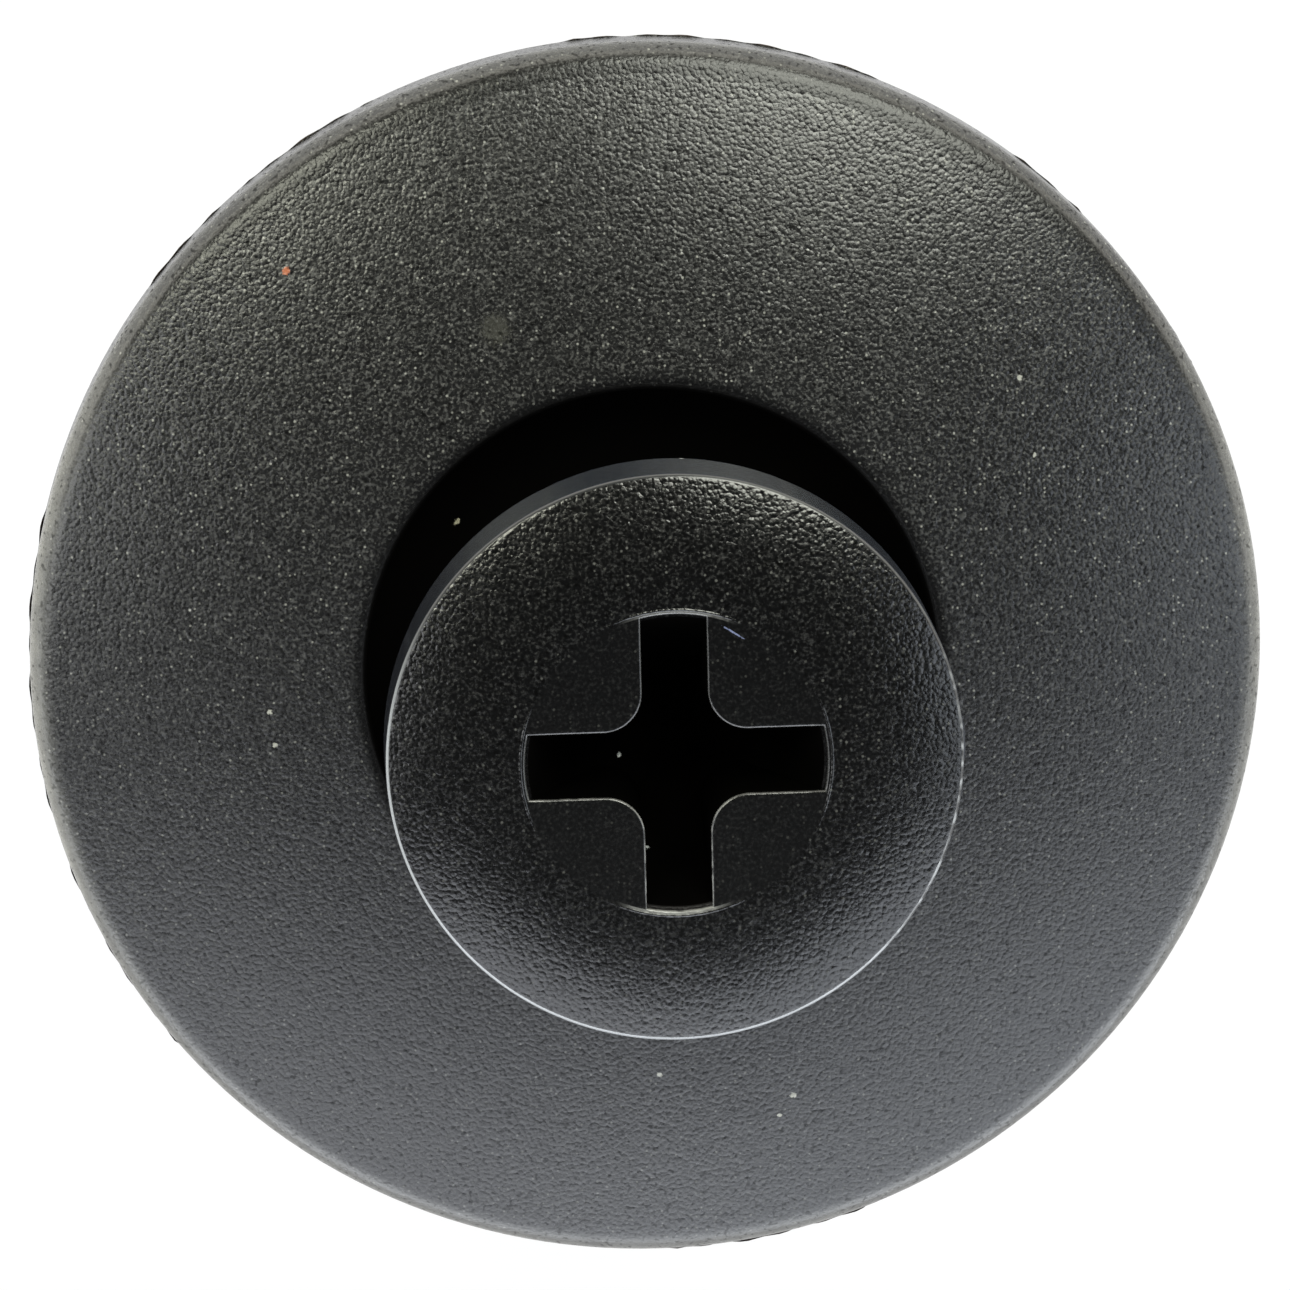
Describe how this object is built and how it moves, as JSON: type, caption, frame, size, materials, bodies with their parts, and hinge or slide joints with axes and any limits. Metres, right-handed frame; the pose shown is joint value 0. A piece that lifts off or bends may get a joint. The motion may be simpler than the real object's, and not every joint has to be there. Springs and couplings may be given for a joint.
{
  "type": "push-type retainer clip",
  "caption": "Black plastic panel clip: domed round flange with a well, split legs, and a push pin with a pan head and cross recess that locks the legs when pressed in.",
  "frame": {"origin": "on the clip's axis, in the plane where the flange's rim rests on the panel", "axes": "+Z along the clip's axis, out of the panel and towards the pin's head; +X and +Y along the wings of the cross recess and the slots between the legs"},
  "size_m": [0.02, 0.02, 0.0215],
  "materials": {
    "grommet": "fine spark-eroded grain",
    "pin": "fine grain with a smoother disc in the middle of the head"
  },
  "bodies": {
    "grommet": {"grommet": "grommet"},
    "pin": {"pin": "pin"}
  },
  "joints": [
    {"name": "pin_push", "type": "slide", "parent": "grommet", "child": "pin", "axis": [0, 0, -1], "range_m": [0, 0.0065]}
  ]
}
